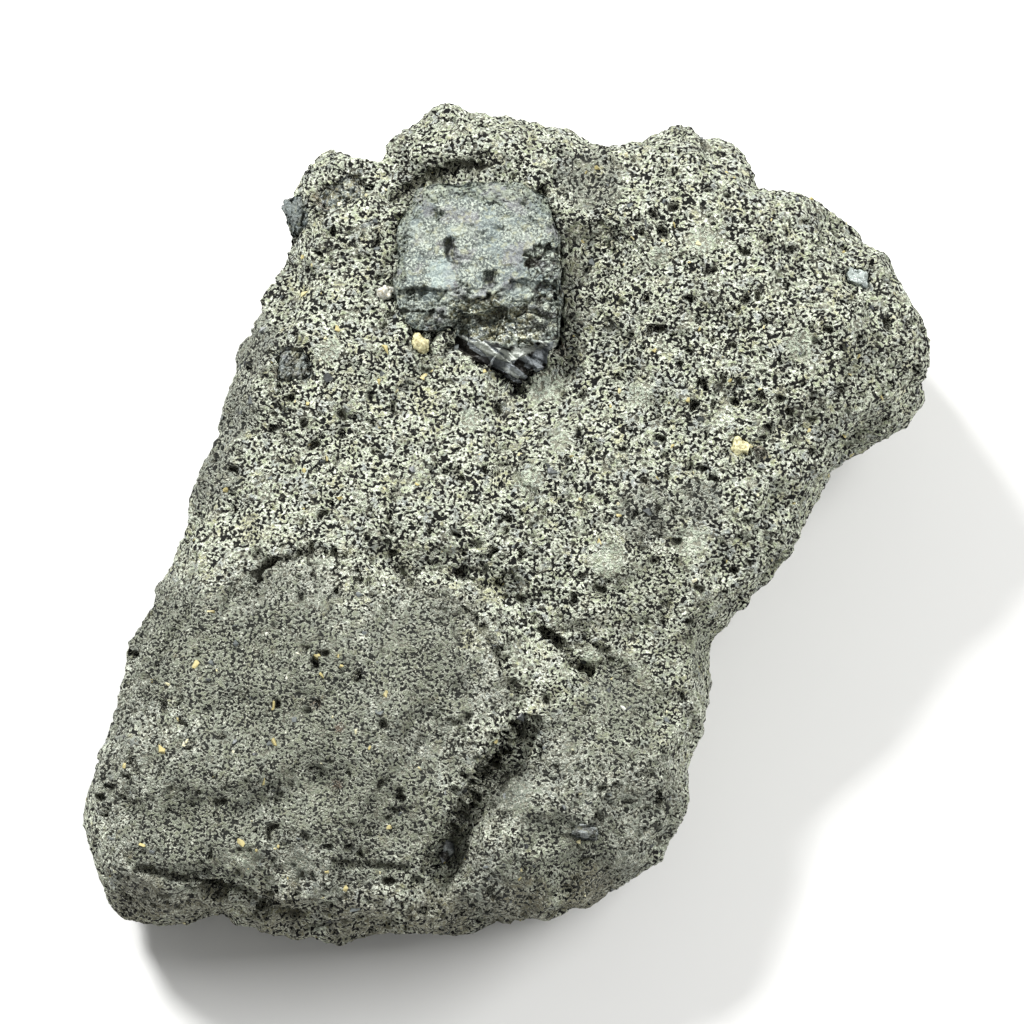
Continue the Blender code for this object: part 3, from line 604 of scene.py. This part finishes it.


# Vesicular basalt scoria: chilled lava froth. A pale grey-green web of glassy rock round countless bubbles
# of 0.2 to 0.5 mm, painted black as their shade, matt, with painted brownish shade in its hollows and
# smooth olive patches.
rock = {
    "coreVoxel": 0.52,          # mm, the CAD form softened at this size
    "coreSmooth": 4,
    "relief": [                 # texture, size in mm, height in mm
        ("CLOUDS", 4.2, 0.6),
        ("CLOUDS", 1.7, 0.6),
        ("CLOUDS", 0.75, 0.5),
    ],
    "bubbles": 8000,            # gas bubbles cut as real hollows
    "bubbleRadius": (0.28, 0.72),
    "bubbleFavour": 4.5,        # the larger, the rarer the big bubbles are
    "bubbleDeep": (1.3, 2.2),   # depth in radii
    "restEdge": 0.3,            # mm over the resting plane that stays uncut
    "pits": [                   # larger burst bubbles: x, y and radius in the camera's pixels
        (769, 237, 7), (793, 223, 5), (823, 240, 7), (836, 233, 6), (890, 328, 7), (763, 452, 6),
        (379, 242, 5), (358, 552, 6), (366, 537, 5), (382, 550, 8), (404, 575, 9), (463, 575, 8),
        (660, 804, 6), (178, 700, 5), (197, 697, 6), (388, 515, 5), (665, 235, 6), (728, 195, 5),
        (621, 450, 5), (645, 480, 5), (272, 829, 6), (210, 668, 5), (182, 837, 6), (405, 388, 5),
        (517, 374, 7), (465, 778, 5), (478, 789, 5), (456, 792, 5), (690, 300, 5), (745, 300, 6),
        (812, 300, 5), (702, 262, 4), (640, 320, 4), (590, 300, 4), (600, 590, 6), (560, 330, 6),
        (478, 545, 5), (440, 590, 6), (520, 600, 5), (690, 640, 5), (700, 590, 5), (230, 420, 4),
        (700, 470, 5), (812, 420, 5), (850, 380, 5), (655, 560, 5), (300, 520, 4), (330, 590, 5),
    ],
    "pitDeep": 1.9,             # depth in radii
    "grooves": {                # half width in pixels, depth in mm, way through the camera's frame
        "cleft": (9, 3.2, [(522, 728), (506, 745), (490, 763), (478, 784), (466, 803), (456, 820),
                           (442, 842), (430, 868)]),
        "arc crack": (3.8, 2.0, [(252, 588), (258, 572), (272, 561), (300, 552), (320, 549), (345, 555)]),
        "slot": (4.8, 2.6, [(543, 631), (553, 637), (563, 646), (570, 655), (577, 664), (590, 671)]),
        "head ledge": (5, 1.3, [(393, 196), (408, 186), (425, 178), (450, 168), (482, 166)]),
        "short crack": (2.5, 0.9, [(541, 748), (538, 760), (533, 772)]),
        "foot ledge": (5, 1.2, [(139, 869), (165, 876), (190, 882), (233, 887), (259, 902), (297, 915)]),
        "foot step": (4, 0.9, [(335, 864), (370, 866), (406, 869)]),
        "left fissure": (3, 0.7, [(142, 700), (160, 655), (186, 610)]),
        "bowl rim": (4, 0.9, [(578, 644), (594, 645), (606, 653), (611, 666)]),
        "mid shelf": (4, 0.9, [(497, 462), (512, 470), (530, 488)]),
        "pit row": (5, 1.1, [(404, 578), (430, 592), (463, 600), (492, 640), (520, 698)]),
    },
    "zones": {                  # tinted places, some of them painted shade: x, y and radius in the camera's pixels
        # a cooler, darker tone that is partly painted shade where the face turns from the light: lower
        # left, left edge, foot
        "cool_tone_and_shade": [(525, 800, 45), (300, 690, 130), (220, 790, 110), (390, 740, 105), (330, 830, 100),
                 (160, 850, 80), (645, 512, 40), (420, 650, 90), (470, 690, 50), (560, 800, 70),
                 (200, 650, 90), (350, 800, 120), (260, 610, 60), (140, 780, 70), (620, 800, 80),
                 (600, 850, 70), (500, 880, 60), (300, 600, 60), (245, 340, 45), (225, 410, 45),
                 (205, 470, 45), (160, 620, 55), (130, 700, 45), (590, 180, 40), (565, 740, 40),
                 (620, 700, 45), (700, 500, 30)],
        "shade": [(575, 230, 22), (577, 270, 24), (577, 310, 24), (568, 345, 18), (440, 172, 26),
                  (475, 165, 24), (410, 190, 18), (500, 775, 30), (485, 810, 30), (465, 845, 30)],
        "smooth": [(800, 345, 20), (660, 255, 15), (610, 560, 24), (530, 480, 20), (560, 440, 16),
                   (690, 540, 22), (640, 395, 20), (545, 385, 26), (517, 795, 22), (700, 240, 20),
                   (300, 860, 22), (250, 860, 18), (592, 657, 13), (330, 350, 18), (470, 420, 16)],
        "mild": [(290, 700, 190), (200, 820, 130), (400, 820, 120), (620, 700, 120), (560, 860, 100),
                 (650, 590, 80), (690, 640, 60), (410, 670, 120), (200, 650, 120), (340, 800, 130)],
        "ochre": [(740, 450, 16), (490, 590, 22), (250, 530, 24), (500, 480, 16), (425, 400, 22),
                  (620, 440, 12), (470, 640, 16), (600, 170, 9), (305, 293, 14)],
        # painted shade, brownish, along the underside band at the foot
        "underside_shade": [(140, 905, 40), (200, 920, 45), (280, 925, 50), (360, 930, 50), (440, 925, 50),
                  (520, 915, 45), (590, 895, 40)],
        "rust": [(315, 705, 9), (340, 728, 8), (338, 785, 8), (763, 452, 8), (560, 350, 12),
                 (325, 200, 14), (285, 372, 14)],
    },
    "waver": [(1.5, 0.55, True), (0.9, 1.3, False)],    # depth in pixels, rate and way of the wander
    "hug": 1.4,                 # mm over which the rock closes up to a crystal
    "gap": 0.07,                # mm that stays between them
    "openings": [               # where the socket stays open: x, y and radius in the camera's pixels
        (570, 250, 9), (571, 275, 9), (571, 300, 10), (569, 325, 11), (562, 348, 11), (517, 376, 10),
        (548, 372, 8),
    ],
    "triangles": 196000,
    "seed": 11,
    "pores": (0.41, 0.37, 0.58),        # size in mm of the curled pores, noise where they open and close
    "finePores": (0.33, 0.38, 0.56),    # the same in the mild zone
    "foam": (0.72, 0.05, 0.25, 0.50),   # round bubbles' spacing in mm, then wall, softness and closing
    "holes": [                  # spacing in mm, then edge softness and greatest radius in spacings
        (1.2, 0.12, 0.15),
        (2.6, 0.05, 0.10),
    ],
    "calm": (2.0, 0.50, 0.68),  # size in mm of the places where pores close, noise where they start and end
    "mildest": 0.12,            # how far the pores close in the mild zone
    "spared": 0.8,              # how many of the cut bubbles the middle of the mild zone loses
    "warp": (0.36, 0.5),        # size and reach in mm of the wander that makes the bubbles irregular
    "grain": 0.4,               # mm
    "patch": 1.6,               # mm
    "bump": 0.4,                # mm
    "colours": {
        "web": "#b5bca6",
        "wall": "#7d8375",
        # rim: a pale speck tone in the grain, and a painted highlight round the pores' mouths
        "rim": "#f0f4e4",
        "green": "#b6c295",
        "blue": "#90959a",
        "olive": "#a8a373",
        "mint": "#b4beaa",
        # cooler darker tone, partly painted shade
        "cool_tone_and_shade": "#71756c",
        "moss": "#7d826c",
        "shade": "#4d4f40",
        "ochre": "#b3b083",
        "rust": "#5b4034",
        # painted shade along the underside, brownish
        "underside_shade": "#6f6650",
        # the next three colours are painted shade: brownish in low places and pore walls, black at the
        # pores' bottoms, dark in carved pits
        "hollow": "#6b6754",
        "pore_shade": "#0a0b08",
        "cavity": "#35332a",
    },
}


def meetSurface(tree, px, py):      # where the line of sight through a place of the frame meets a surface
    start, way = sightLine(camera, px, py)
    return tree.ray_cast(start, way)[0]


def zoneShare(places, discs):
    share = np.zeros(len(places))
    for px, py, radius in discs:
        share = np.maximum(share, 1.0 - np.hypot(places[:, 0] - px, places[:, 1] - py) / radius)
    return np.clip(share, 0.0, 1.0)


def carveBubbles(thing, s):
    mesh = thing.data
    points, normals = readPoints(mesh), readPoints(mesh, "normal")
    tree = KDTree(len(points))
    for i, point in enumerate(points):
        tree.insert(point, i)
    tree.balance()
    draw = random.Random(s["seed"])
    low, high = s["bubbleRadius"]
    step = camera["imageWidth"] / camera["pixels"]
    skin = surfaceOf(thing)
    bubbles = []
    for px, py, radius in s["pits"]:
        bubbles.append((tree.find(meetSurface(skin, px, py))[1], radius * step, s["pitDeep"]))
    for _ in range(s["bubbles"]):
        radius = low + (high - low) * draw.random() ** s["bubbleFavour"]
        bubbles.append((draw.randrange(len(points)), radius, draw.uniform(*s["bubbleDeep"])))
    places = inFrame(camera, points)
    spared = np.maximum(zoneShare(places, s["zones"]["smooth"]),
                        zoneShare(places, s["zones"]["mild"]) * s["spared"])
    for seat, radius, deep in bubbles:
        turn, lobe = draw.uniform(0, math.tau), draw.uniform(0.1, 0.4)
        if points[seat][2] < s["restEdge"] * mm or draw.random() < spared[seat]:
            continue
        axis = normals[seat]
        found = [i for _, i, _ in tree.find_range(points[seat], radius * 1.5 * mm)]
        away = (points[found] - points[seat]) / mm
        side = np.cross(axis, (0.31, 0.84, 0.44))
        side /= np.linalg.norm(side)
        other = np.cross(axis, side)
        across = np.hypot(away @ side, away @ other)
        bearing = np.arctan2(away @ other, away @ side)
        reach = radius * (1.0 + lobe * np.cos(2 * bearing + turn) + 0.5 * lobe * np.cos(3 * bearing - turn))
        share = np.clip(1.0 - (across / reach) ** 2, 0.0, 1.0)
        points[found] -= np.outer(np.sqrt(share) * radius * deep, axis) * mm
    writePoints(mesh, points)


def cutGrooves(thing, s):
    points, normals = readPoints(thing.data), readPoints(thing.data, "normal")
    places = waver(inFrame(camera, points), s["waver"])
    front = normals[:, 2] > 0.15
    for half, depth, way in s["grooves"].values():
        share = np.clip(1.0 - (awayFrom(places, way) / half) ** 2, 0.0, 1.0)
        points -= normals * (front * np.sqrt(share) * depth * mm)[:, None]
    writePoints(thing.data, points)


def closeUp(thing, crystals, s):        # draws the rock up to the crystals that it grips
    corners, faces = [], []
    for piece in crystals:
        first = len(corners)
        corners += [vert.co[:] for vert in piece.data.vertices]
        faces += [[first + i for i in face.vertices] for face in piece.data.polygons]
    skin = BVHTree.FromPolygons(corners, faces)
    points = readPoints(thing.data)
    opened = zoneShare(inFrame(camera, points), s["openings"])
    near = np.zeros(len(points), bool)
    for piece in crystals:
        found = readPoints(piece.data)
        low, high = found.min(0) - s["hug"] * mm, found.max(0) + s["hug"] * mm
        near |= np.all((points > low) & (points < high), axis=1)
    for i in np.nonzero(near)[0]:
        point, normal, _, away = skin.find_nearest(points[i], s["hug"] * mm)
        if point is None:
            continue
        aside = Vector(points[i]) - point
        outside = aside.dot(normal) > 0
        gap = s["gap"] * mm + (away * (away / (s["hug"] * mm)) ** 1.5 if outside else 0.0)
        target = point + (aside.normalized() if outside else normal) * gap
        hold = min(1.0, 2.0 * opened[i]) if outside else 0.0
        points[i] = hold * points[i] + (1.0 - hold) * np.array(target)
    writePoints(thing.data, points)


def flattenRest(mesh):      # nothing reaches below the resting plane
    points = readPoints(mesh)
    points[:, 2] = np.maximum(points[:, 2], 0.0)
    writePoints(mesh, points)


def makeRock(s, crystals):
    thing = copyNode("scoria_matrix", "vesicular_scoria")
    remesh(thing, s["coreVoxel"], s["coreSmooth"])
    core = surfaceOf(thing)
    fine = thing.modifiers.new("finer", "SUBSURF")
    fine.levels = fine.render_levels = 1
    displace(thing, s["relief"])
    applyModifiers(thing)
    cutGrooves(thing, s)
    skin = surfaceOf(thing)
    carveBubbles(thing, s)
    closeUp(thing, crystals, s)
    lighten(thing, s["triangles"])
    flattenRest(thing.data)
    writeAttribute(thing.data, "relief", heightOver(thing.data, core))
    writeAttribute(thing.data, "cavity", heightOver(thing.data, skin))
    places = inFrame(camera, readPoints(thing.data))
    for name, discs in s["zones"].items():
        writeAttribute(thing.data, name, zoneShare(places, discs))
    dress(thing, scoriaMaterial(s), ["scoria_matrix"])
    print("scoria", len(thing.data.polygons), "faces")
    return thing


def scoriaMaterial(s):
    colours = {name: linear(code) for name, code in s["colours"].items()}
    material, tree, shader = newMaterial("vesicular basalt scoria", 0.88, 0.3)
    place = addNode(tree, "ShaderNodeTexCoord").outputs["Object"]
    size, reach = s["warp"]
    wander = addNode(tree, "ShaderNodeTexNoise", {"Vector": place},
                     {"Scale": 1 / (size * mm), "Detail": 1.0})
    bent = addNode(tree, "ShaderNodeVectorMath", {0: wander.outputs["Color"], 2: place},
                   {1: (reach * mm,) * 3}, operation="MULTIPLY_ADD").outputs[0]
    patch = addNode(tree, "ShaderNodeTexNoise", {"Vector": place},
                    {"Scale": 1 / (s["patch"] * mm), "Detail": 3.0})
    read = {name: addNode(tree, "ShaderNodeAttribute", attribute_name=name).outputs["Fac"]
            for name in ("relief", "cavity", *s["zones"])}
    edge = {name: addNode(tree, "ShaderNodeMath", {0: patch.outputs["Fac"], 2: read[name]}, {1: 1.2},
                          operation="MULTIPLY_ADD").outputs[0] for name in s["zones"]}
    kinds = []
    for size, low, high in (s["pores"], s["finePores"]):
        curls = addNode(tree, "ShaderNodeTexNoise", {"Vector": place},
                        {"Scale": 1 / (size * mm), "Detail": 0.5, "Distortion": 0.4})
        kinds.append(addNode(tree, "ShaderNodeMapRange", {"Value": curls.outputs["Fac"]},
                             {"From Min": low, "From Max": high},
                             interpolation_type="SMOOTHSTEP").outputs[0])
    finer = addNode(tree, "ShaderNodeMapRange", {"Value": edge["mild"]},
                    {"From Min": 0.75, "From Max": 1.05})
    curled = addNode(tree, "ShaderNodeMix", {0: finer.outputs[0], 2: kinds[0], 3: kinds[1]}).outputs[0]
    spacing, wall, soft, closing = s["foam"]
    cell = addNode(tree, "ShaderNodeTexVoronoi", {"Vector": bent}, {"Scale": 1 / (spacing * mm)})
    chance = addNode(tree, "ShaderNodeSeparateColor", {0: cell.outputs["Color"]}).outputs[0]
    side = addNode(tree, "ShaderNodeTexVoronoi", {"Vector": bent}, {"Scale": 1 / (spacing * mm)},
                   feature="DISTANCE_TO_EDGE").outputs["Distance"]
    within = addNode(tree, "ShaderNodeMath", {0: chance, 2: side}, {1: -closing},
                     operation="MULTIPLY_ADD").outputs[0]
    solid = addNode(tree, "ShaderNodeMapRange", {"Value": within},
                    {"From Min": wall + soft, "From Max": wall}, interpolation_type="SMOOTHSTEP").outputs[0]
    froth = addNode(tree, "ShaderNodeMath", {0: curled, 1: solid}, operation="MULTIPLY").outputs[0]
    for spacing, soft, radius in s["holes"]:
        cell = addNode(tree, "ShaderNodeTexVoronoi", {"Vector": bent}, {"Scale": 1 / (spacing * mm)})
        chance = addNode(tree, "ShaderNodeSeparateColor", {0: cell.outputs["Color"]}).outputs[0]
        wall = addNode(tree, "ShaderNodeMath", {0: chance, 2: cell.outputs["Distance"]}, {1: -radius},
                       operation="MULTIPLY_ADD").outputs[0]
        solid = addNode(tree, "ShaderNodeMapRange", {"Value": wall}, {"From Min": 0.0, "From Max": soft},
                        interpolation_type="SMOOTHSTEP").outputs[0]
        froth = addNode(tree, "ShaderNodeMath", {0: froth, 1: solid}, operation="MULTIPLY").outputs[0]
    grain = addNode(tree, "ShaderNodeTexNoise", {"Vector": bent},
                    {"Scale": 1 / (s["grain"] * mm), "Detail": 2.0, "Roughness": 0.65})
    tints = addNode(tree, "ShaderNodeSeparateColor", {0: patch.outputs["Color"]}).outputs
    size, low, high = s["calm"]
    calm = addNode(tree, "ShaderNodeTexNoise", {"Vector": place}, {"Scale": 1 / (size * mm), "Detail": 4.0})
    sealing = [                 # what closes the pores, where it starts and is full, its most
        (edge["smooth"], 0.75, 1.0, 1.0),
        (calm.outputs["Fac"], low, high, 1.0),
        (edge["mild"], 0.75, 1.2, s["mildest"]),
    ]
    closed = None
    for source, low, high, most in sealing:
        share = addNode(tree, "ShaderNodeMapRange", {"Value": source},
                        {"From Min": low, "From Max": high, "To Max": most}).outputs[0]
        if closed:
            share = addNode(tree, "ShaderNodeMath", {0: closed, 1: share}, operation="MAXIMUM").outputs[0]
        closed = share
    pierced = addNode(tree, "ShaderNodeMath", {0: closed, 2: froth}, {1: 0.4},
                      operation="MULTIPLY_ADD").outputs[0]
    layers = [                  # colour, what drives it, where it starts and is full, its most
        ("wall", grain.outputs["Fac"], 0.50, 0.38, 0.9),
        ("rim", grain.outputs["Fac"], 0.52, 0.62, 0.85),
        ("green", tints[0], 0.50, 0.64, 0.5),
        ("blue", tints[1], 0.50, 0.66, 0.6),
        ("olive", tints[2], 0.54, 0.68, 0.5),
        ("mint", edge["smooth"], 0.75, 1.1, 0.6),
        # cooler darker tone, partly painted shade on the lower left, the left edge and the foot
        ("cool_tone_and_shade", edge["cool_tone_and_shade"], 0.70, 1.0, 0.7),
        ("shade", edge["shade"], 0.60, 1.2, 0.6),
        ("moss", edge["mild"], 0.80, 1.4, 0.55),
        ("ochre", edge["ochre"], 0.75, 1.2, 0.5),
        ("rust", edge["rust"], 0.75, 1.1, 0.7),
        # painted shade, brownish, along the underside band
        ("underside_shade", edge["underside_shade"], 0.65, 1.1, 0.65),
        # painted shade, brownish, where the surface lies under its softened form, and darker in the carved
        # bubbles and pits
        ("hollow", read["relief"], -0.2, -1.2, 0.5),
        ("cavity", read["cavity"], -0.4, -1.0, 0.9),
        # painted highlight round the pores' mouths
        ("rim", pierced, 1.0, 0.80, 0.6),
        # painted shade graded into the pores, black at their bottoms
        ("hollow", pierced, 0.85, 0.35, 0.8),
        ("pore_shade", pierced, 0.48, 0.08, 1.0),
        # the same tone and painted shade again, thinly over the pores
        ("cool_tone_and_shade", edge["cool_tone_and_shade"], 0.70, 1.0, 0.1),
    ]
    tree.links.new(layColours(tree, colours["web"], colours, layers), shader.inputs["Base Color"])
    height = addNode(tree, "ShaderNodeMath", {0: grain.outputs["Fac"], 2: curled}, {1: 2.2},
                     operation="MULTIPLY_ADD").outputs[0]
    bump = addNode(tree, "ShaderNodeBump", {"Height": height},
                   {"Strength": 1.0, "Distance": s["bump"] * mm})
    tree.links.new(bump.outputs[0], shader.inputs["Normal"])
    return material


# Crumbs caught in the froth: cream and straw feldspar slivers, and dark bluish-grey augite splinters.
feldsparCrumbs = {
    "name": "feldspar_crumbs",
    "slot": "feldspar",
    "placed": [                 # x, y in the camera's pixels, length and width in mm, turn in degrees, tone
        (424, 376, 1.1, 0.8, 40, 0.9), (432, 371, 0.9, 0.6, 60, 0.5), (379, 381, 1.0, 0.9, 10, 0.9),
        (385, 350, 1.2, 0.7, 80, 0.9), (305, 293, 1.4, 0.8, 0, 0.5), (338, 328, 0.9, 0.7, 30, 0.9),
        (304, 471, 0.8, 0.6, 50, 0.9), (340, 498, 1.0, 0.6, 80, 0.9), (688, 400, 0.7, 0.6, 0, 0.9),
        (672, 446, 0.7, 0.5, 20, 0.8), (611, 406, 0.7, 0.5, 45, 0.9), (580, 500, 0.6, 0.5, 0, 0.5),
        (613, 242, 1.5, 0.5, 80, 0.1), (597, 169, 0.9, 0.8, 0, 1.0), (623, 708, 0.9, 0.5, 10, 0.0),
        (210, 612, 1.1, 0.6, 70, 0.7), (195, 665, 1.2, 0.6, 20, 0.7), (160, 750, 1.7, 0.9, 60, 0.7),
        (141, 845, 1.2, 0.8, 30, 0.8), (240, 843, 1.3, 0.9, 60, 0.6), (264, 782, 1.2, 0.5, 60, 0.6),
        (273, 705, 1.1, 0.7, 10, 0.7), (274, 742, 0.9, 0.6, 80, 0.9), (318, 655, 1.2, 0.6, 70, 0.6),
        (321, 675, 1.1, 0.6, 50, 0.7), (369, 748, 0.8, 0.5, 0, 0.8), (386, 695, 1.1, 0.6, 60, 0.6),
        (389, 828, 1.1, 0.6, 70, 0.6), (346, 888, 0.9, 0.6, 30, 0.7), (270, 650, 0.9, 0.3, 40, 0.1),
        (298, 653, 0.9, 0.3, 60, 0.1), (291, 660, 0.8, 0.3, 10, 0.1), (186, 742, 1.0, 0.4, 150, 0.2),
        (700, 330, 0.6, 0.5, 0, 0.8), (655, 350, 0.6, 0.5, 30, 0.9), (730, 380, 0.6, 0.5, 60, 0.8),
    ],
    "scattered": 260,
    "lengths": (0.3, 0.8),
    "slim": (0.4, 0.9),
    "sunk": 0.15,               # share of its length that its middle lies under the surface
    "corners": 16,              # random corners whose hull is one crumb
    "seed": 31,
    "tones": ("#c9ccc4", "#b9b48e", "#aa9f6c"),         # white, cream and straw
}
augiteCrumbs = {
    "name": "augite_splinters",
    "slot": "augite",
    "placed": [
        (550, 470, 1.6, 1.1, 20, 0.5), (520, 718, 1.3, 0.9, 50, 0.2), (630, 708, 1.2, 0.7, 80, 0.3),
        (358, 909, 2.0, 0.7, 20, 0.9), (328, 378, 1.5, 1.1, 70, 0.2), (380, 712, 1.1, 0.8, 60, 0.9),
        (645, 512, 2.0, 0.9, 40, 0.4), (412, 470, 1.1, 0.8, 10, 0.4), (700, 420, 1.1, 0.8, 10, 0.4),
        (548, 466, 1.2, 0.9, 60, 0.3), (610, 690, 1.2, 0.8, 60, 0.3), (820, 290, 1.3, 0.8, 60, 0.4),
        (262, 330, 1.2, 0.9, 60, 0.6), (590, 262, 1.4, 0.9, 60, 0.5), (690, 470, 1.3, 0.8, 130, 0.4),
    ],
    "scattered": 420,
    "lengths": (0.35, 1.0),
    "slim": (0.45, 0.95),
    "sunk": 0.2,
    "corners": 14,
    "seed": 32,
    "tones": ("#232527", "#3a3d3c", "#5c6160"),         # black, dark grey and bluish grey
}


def makeCrumbs(s, rock, material):
    draw = random.Random(s["seed"])
    skin = surfaceOf(rock)
    places = []
    for px, py, length, width, turn, tone in s["placed"]:
        start, way = sightLine(camera, px, py)
        point, normal, _, _ = skin.ray_cast(start, way)
        places.append((point, normal, length, width, turn, tone))
    faces = [face for face in rock.data.polygons if face.center.z > 1.5 * mm]
    for face in draw.sample(faces, s["scattered"]):
        length = draw.uniform(*s["lengths"])
        places.append((face.center.copy(), face.normal.copy(), length, length * draw.uniform(*s["slim"]),
                       draw.uniform(0, 180), draw.random()))
    bm = bmesh.new()
    tones = bm.verts.layers.float.new("tone")
    for point, normal, length, width, turn, tone in places:
        upright = normal.to_track_quat("Z", "Y").to_matrix().to_4x4()
        spin = Matrix.Rotation(math.radians(turn + draw.uniform(-8, 8)), 4, "Z")
        lean = Matrix.Rotation(math.radians(draw.uniform(-25, 25)), 4, "X")
        size = Matrix.Diagonal((length * mm, width * mm, 0.5 * (length + width) * mm, 1.0))
        middle = Matrix.Translation(point - normal * s["sunk"] * length * mm)
        place = middle @ upright @ spin @ lean @ size
        verts = [bm.verts.new(place @ Vector([draw.uniform(-0.55, 0.55) for _ in range(3)]))
                 for _ in range(s["corners"])]
        for vert in verts:
            vert[tones] = tone
        hull = bmesh.ops.convex_hull(bm, input=verts)
        bmesh.ops.delete(bm, geom=hull["geom_interior"], context="VERTS")
    bmesh.ops.recalc_face_normals(bm, faces=bm.faces)
    mesh = bpy.data.meshes.new(s["name"])
    bm.to_mesh(mesh)
    bm.free()
    thing = bpy.data.objects.new(s["name"], mesh)
    bpy.context.scene.collection.objects.link(thing)
    mesh.materials.append(material)
    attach(thing, "root")
    print(s["name"], len(places), "crumbs")


def crumbMaterial(s, name, roughness):
    material, tree, shader = newMaterial(name, roughness, 0.5)
    place = addNode(tree, "ShaderNodeTexCoord").outputs["Object"]
    fine = addNode(tree, "ShaderNodeTexNoise", {"Vector": place}, {"Scale": 1 / (0.25 * mm), "Detail": 2.0})
    tone = addNode(tree, "ShaderNodeAttribute", attribute_name="tone").outputs["Fac"]
    mixed = addNode(tree, "ShaderNodeMath", {0: fine.outputs["Fac"], 2: tone}, {1: 0.6},
                    operation="MULTIPLY_ADD")
    ramp = addNode(tree, "ShaderNodeValToRGB", {0: mixed.outputs[0]})
    stops = ramp.color_ramp.elements
    first, middle, last = [linear(code) for code in s["tones"]]
    stops[0].position, stops[0].color = 0.25, first
    stops[1].position, stops[1].color = 1.25 / 1.3, last
    stops.new(0.6).color = middle
    tree.links.new(ramp.outputs[0], shader.inputs["Base Color"])
    bump = addNode(tree, "ShaderNodeBump", {"Height": fine.outputs["Fac"]},
                   {"Strength": 0.6, "Distance": 0.08 * mm})
    tree.links.new(bump.outputs[0], shader.inputs["Normal"])
    return material


room = {
    "floor": "#dcdcda",
    "floorHalf": 1500,          # mm
    "lamps": {                  # x, y, z and size in mm, watts
        "key from the upper left": (-400, 480, 680, 200, 14.0),
        "soft right": (620, 160, 620, 500, 8.5),
    },
    "surround": 0.42,
}


def makeRoom(s):
    bm = bmesh.new()
    bmesh.ops.create_grid(bm, x_segments=1, y_segments=1, size=s["floorHalf"] * mm)
    mesh = bpy.data.meshes.new("floor")
    bm.to_mesh(mesh)
    bm.free()
    floor = bpy.data.objects.new("floor", mesh)
    bpy.context.scene.collection.objects.link(floor)
    material, _, shader = newMaterial("plain pale paper", 0.9)
    shader.inputs["Base Color"].default_value = linear(s["floor"])
    mesh.materials.append(material)
    for name, (x, y, z, size, watts) in s["lamps"].items():
        lamp = bpy.data.objects.new(name, bpy.data.lights.new(name, "AREA"))
        lamp.data.size = size * mm
        lamp.data.energy = watts
        lamp.location = Vector((x, y, z)) * mm
        lamp.rotation_euler = (-lamp.location).to_track_quat("-Z", "Y").to_euler()
        bpy.context.scene.collection.objects.link(lamp)
    world = bpy.data.worlds.new("soft surround")
    world.use_nodes = True
    world.node_tree.nodes["Background"].inputs["Color"].default_value = (1.0, 1.0, 1.0, 1.0)
    world.node_tree.nodes["Background"].inputs["Strength"].default_value = s["surround"]
    bpy.context.scene.world = world
    bpy.context.scene.view_settings.view_transform = "Standard"


makeCamera(camera)
makeRoom(room)
crystals = [makeAugite(augite)]
for node, own in smallAugites.items():
    breaks = {"all": {"zones": {"all": 1.0}, "cuts": own["cuts"]}}
    broken = {"outlines": {**own["outlines"], "all": 1.0}, "breaks": breaks}
    crystals.append(makeAugite({**augite, **smallCut, **own, **broken, "node": node}))
for node, colour in feldspar["nodes"].items():
    finish = feldsparMaterial(feldspar, f"{node} cleavage", colour)
    crystals.append(makeGrain(feldspar, node, finish))
crystals.append(makeGrain(feldspar, "glassy_grain", glassMaterial(glass)))
scoria = makeRock(rock, crystals)
makeCrumbs(feldsparCrumbs, scoria, crumbMaterial(feldsparCrumbs, "cleaved feldspar crumbs", 0.45))
makeCrumbs(augiteCrumbs, scoria, crumbMaterial(augiteCrumbs, "splintered augite", 0.42))
